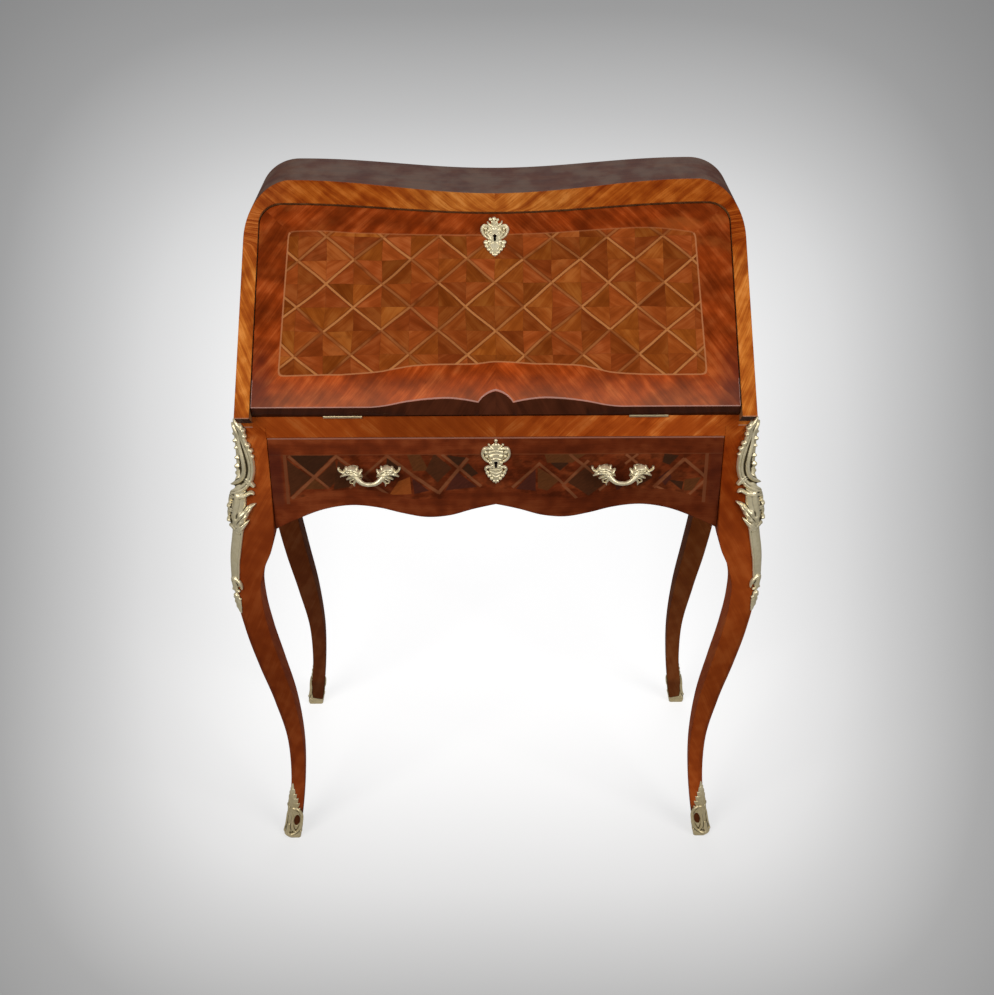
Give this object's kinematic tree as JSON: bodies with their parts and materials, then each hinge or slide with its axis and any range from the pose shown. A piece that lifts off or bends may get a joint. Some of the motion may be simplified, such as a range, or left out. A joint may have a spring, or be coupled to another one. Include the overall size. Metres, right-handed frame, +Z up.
{
  "type": "writing desk",
  "caption": "Slant-front writing desk on cabriole legs, with a fall that opens to a writing surface, a scalloped drawer and bronze mounts.",
  "frame": {"origin": "on the floor, in the middle of the desk's whole width and depth", "axes": "+Z up, the front with its fall and drawer faces -Y, +X to the viewer's right"},
  "size_m": [0.752, 0.3909, 0.9855],
  "materials": {
    "veneered_wood": "French polished kingwood and tulipwood veneer",
    "fall_marquetry": "French polished trellis marquetry",
    "drawer_marquetry": "French polished dark trellis marquetry",
    "inside_wood": "satin polished veneer",
    "plain_wood": "plain waxed oak",
    "gilt_bronze": "pale gilt bronze, burnished on the high places",
    "brass": "polished",
    "steel": "brushed",
    "writing_leather": "tooled"
  },
  "bodies": {
    "case": {"back_apron": "veneered_wood", "back_left_leg": "veneered_wood", "back_left_sabot": "gilt_bronze", "back_panel": "veneered_wood", "back_right_leg": "veneered_wood", "back_right_sabot": "gilt_bronze", "drawer_stops": "plain_wood", "fall_strike_plate": "brass", "frieze_rail": "veneered_wood", "front_left_leg": "veneered_wood", "front_left_sabot": "gilt_bronze", "front_right_leg": "veneered_wood", "front_right_sabot": "gilt_bronze", "head_fillet": "veneered_wood", "hinge_bed_screws": "brass", "interior_shelf": "inside_wood", "left_corner_mount": "gilt_bronze", "left_drawer_kicker": "plain_wood", "left_drawer_runner": "plain_wood", "left_fall_stop": "veneered_wood", "left_hinge_bed_leaf": "brass", "left_hinge_pin": "brass", "left_interior_divider": "inside_wood", "left_side_apron": "veneered_wood", "left_side_panel": "veneered_wood", "right_corner_mount": "gilt_bronze", "right_drawer_kicker": "plain_wood", "right_drawer_runner": "plain_wood", "right_fall_stop": "veneered_wood", "right_hinge_bed_leaf": "brass", "right_hinge_pin": "brass", "right_interior_divider": "inside_wood", "right_side_apron": "veneered_wood", "right_side_panel": "veneered_wood", "top_board": "veneered_wood", "writing_bed": "inside_wood"},
    "fall": {"fall_panel": "fall_marquetry", "writing_leather": "writing_leather", "fall_lock": "brass", "fall_escutcheon": "gilt_bronze", "left_hinge_fall_leaf": "brass", "right_hinge_fall_leaf": "brass", "hinge_fall_screws": "brass"},
    "fall_bolt": {"fall_lock_bolt": "steel"},
    "drawer": {"drawer_front": "drawer_marquetry", "left_drawer_side": "plain_wood", "right_drawer_side": "plain_wood", "drawer_back": "plain_wood", "drawer_bottom": "plain_wood", "drawer_lock": "brass", "drawer_escutcheon": "gilt_bronze", "left_pull": "gilt_bronze", "right_pull": "gilt_bronze"},
    "drawer_bolt": {"drawer_lock_bolt": "steel"},
    "left_small_drawer": {"left_small_drawer_front": "inside_wood", "left_small_drawer_tray": "plain_wood", "left_small_drawer_knob": "brass"},
    "right_small_drawer": {"right_small_drawer_front": "inside_wood", "right_small_drawer_tray": "plain_wood", "right_small_drawer_knob": "brass"}
  },
  "joints": [
    {"name": "fall_hinge", "type": "hinge", "parent": "case", "child": "fall", "pos_m": [0, -0.1655, 0.734], "axis": [1, 0, 0], "range_deg": [0, 136.5]},
    {"name": "fall_bolt_slide", "type": "slide", "parent": "fall", "child": "fall_bolt", "axis": [0, 0.7254, 0.6884], "range_m": [0, 0.008]},
    {"name": "drawer_slide", "type": "slide", "parent": "case", "child": "drawer", "axis": [0, -1, 0], "range_m": [0, 0.22]},
    {"name": "drawer_bolt_slide", "type": "slide", "parent": "drawer", "child": "drawer_bolt", "axis": [0, 0, 1], "range_m": [0, 0.008]},
    {"name": "left_small_drawer_slide", "type": "slide", "parent": "case", "child": "left_small_drawer", "axis": [0, -1, 0], "range_m": [0, 0.075]},
    {"name": "right_small_drawer_slide", "type": "slide", "parent": "case", "child": "right_small_drawer", "axis": [0, -1, 0], "range_m": [0, 0.075]}
  ]
}
